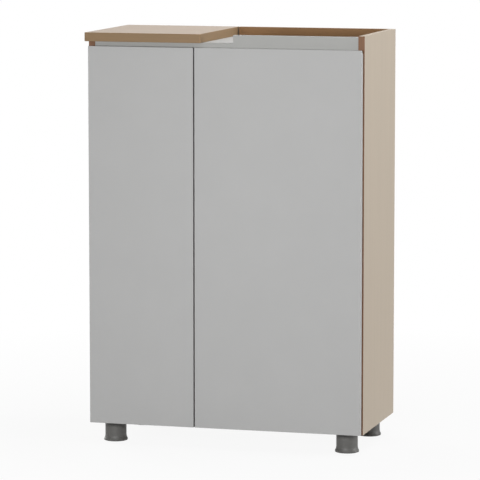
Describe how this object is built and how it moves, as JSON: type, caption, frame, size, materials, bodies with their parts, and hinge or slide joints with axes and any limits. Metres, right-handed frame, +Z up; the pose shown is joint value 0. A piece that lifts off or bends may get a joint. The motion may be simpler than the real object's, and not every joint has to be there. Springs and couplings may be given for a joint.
{
  "type": "utility cabinet",
  "caption": "Free-standing utility cabinet on round legs: narrow and wide overlay door on cup hinges, shelves, raised worktop slab and sunk open tray with a stepped front lip.",
  "frame": {"origin": "on the floor, at the middle of the whole footprint (slab overhangs included)", "axes": "+X to the cabinet's right as seen from the front, +Y to the back, +Z up; the doors face -Y"},
  "size_m": [0.806, 0.404, 1.174],
  "materials": {
    "beige_laminate": "satin light wood-look laminate on board",
    "brown_edge": "brown wood-look edge band",
    "grey_laminate": "smooth satin grey laminate on board",
    "grey_plastic": "moulded dark grey plastic, fine texture",
    "soft_pad": "soft pad",
    "hardboard": "thin pale hardboard",
    "beech": "fluted beech",
    "zinc": "die-cast zinc",
    "hinge_steel": "nickel-plated pressed steel",
    "screw_steel": "zinc-plated steel"
  },
  "bodies": {
    "carcass": {"back_panel": "hardboard", "back_rail": "brown_edge", "bottom_panel": "beige_laminate", "cam_bolts": "screw_steel", "cam_locks": "zinc", "carcass_edge_bands": "brown_edge", "front_rail": "grey_laminate", "hinge_plate_screws": "screw_steel", "left_arm_pins": "screw_steel", "left_hinge_arms": "hinge_steel", "left_hinge_plates": "hinge_steel", "left_shelf_1": "beige_laminate", "left_shelf_2": "beige_laminate", "left_shelf_pins": "screw_steel", "left_side_panel": "beige_laminate", "leg_back_left": "grey_plastic", "leg_back_right": "grey_plastic", "leg_front_left": "grey_plastic", "leg_front_right": "grey_plastic", "leg_glides": "soft_pad", "leg_screws": "screw_steel", "partition_panel": "beige_laminate", "right_arm_pins": "screw_steel", "right_hinge_arms": "hinge_steel", "right_hinge_plates": "hinge_steel", "right_shelf_1": "beige_laminate", "right_shelf_2": "beige_laminate", "right_shelf_pins": "screw_steel", "right_side_panel": "beige_laminate", "shelf_edge_bands": "brown_edge", "top_panel": "grey_laminate", "wood_dowels": "beech", "worktop_edge_bands": "brown_edge", "worktop_screws": "screw_steel", "worktop_slab": "beige_laminate"},
    "left_door": {"left_door": "grey_laminate", "left_door_edge_bands": "grey_laminate", "left_door_bumpers": "soft_pad", "left_hinge_cups": "hinge_steel", "left_cup_pins": "screw_steel", "left_cup_screws": "screw_steel"},
    "left_outer_link": {"left_outer_links": "hinge_steel"},
    "left_inner_link": {"left_inner_links": "hinge_steel"},
    "right_door": {"right_door": "grey_laminate", "right_door_edge_bands": "grey_laminate", "right_door_bumpers": "soft_pad", "right_hinge_cups": "hinge_steel", "right_cup_pins": "screw_steel", "right_cup_screws": "screw_steel"},
    "right_outer_link": {"right_outer_links": "hinge_steel"},
    "right_inner_link": {"right_inner_links": "hinge_steel"}
  },
  "joints": [
    {"name": "left_outer_link_turn", "type": "hinge", "parent": "carcass", "child": "left_outer_link", "pos_m": [-0.3569, -0.1744, 0.59775], "axis": [0, 0, 1], "range_deg": [0, 36.1]},
    {"name": "left_inner_link_turn", "type": "hinge", "parent": "carcass", "child": "left_inner_link", "pos_m": [-0.3598, -0.1856, 0.59775], "axis": [0, 0, 1], "range_deg": [0, 21.6]},
    {"name": "left_door_swing", "type": "hinge", "parent": "left_outer_link", "child": "left_door", "pos_m": [-0.381, -0.1815, 0.59775], "axis": [0, 0, -1], "range_deg": [0, 131]},
    {"name": "right_outer_link_turn", "type": "hinge", "parent": "carcass", "child": "right_outer_link", "pos_m": [0.3629, -0.1744, 0.59775], "axis": [0, 0, -1], "range_deg": [0, 36.1]},
    {"name": "right_inner_link_turn", "type": "hinge", "parent": "carcass", "child": "right_inner_link", "pos_m": [0.3658, -0.1856, 0.59775], "axis": [0, 0, -1], "range_deg": [0, 21.6]},
    {"name": "right_door_swing", "type": "hinge", "parent": "right_outer_link", "child": "right_door", "pos_m": [0.387, -0.1815, 0.59775], "axis": [0, 0, 1], "range_deg": [0, 131]}
  ],
  "couplings": [
    {"joint": "left_outer_link_turn", "follows": "left_door_swing", "ratio": 0.27484},
    {"joint": "left_inner_link_turn", "follows": "left_door_swing", "ratio": 0.16432},
    {"joint": "right_outer_link_turn", "follows": "right_door_swing", "ratio": 0.27484},
    {"joint": "right_inner_link_turn", "follows": "right_door_swing", "ratio": 0.16432}
  ]
}
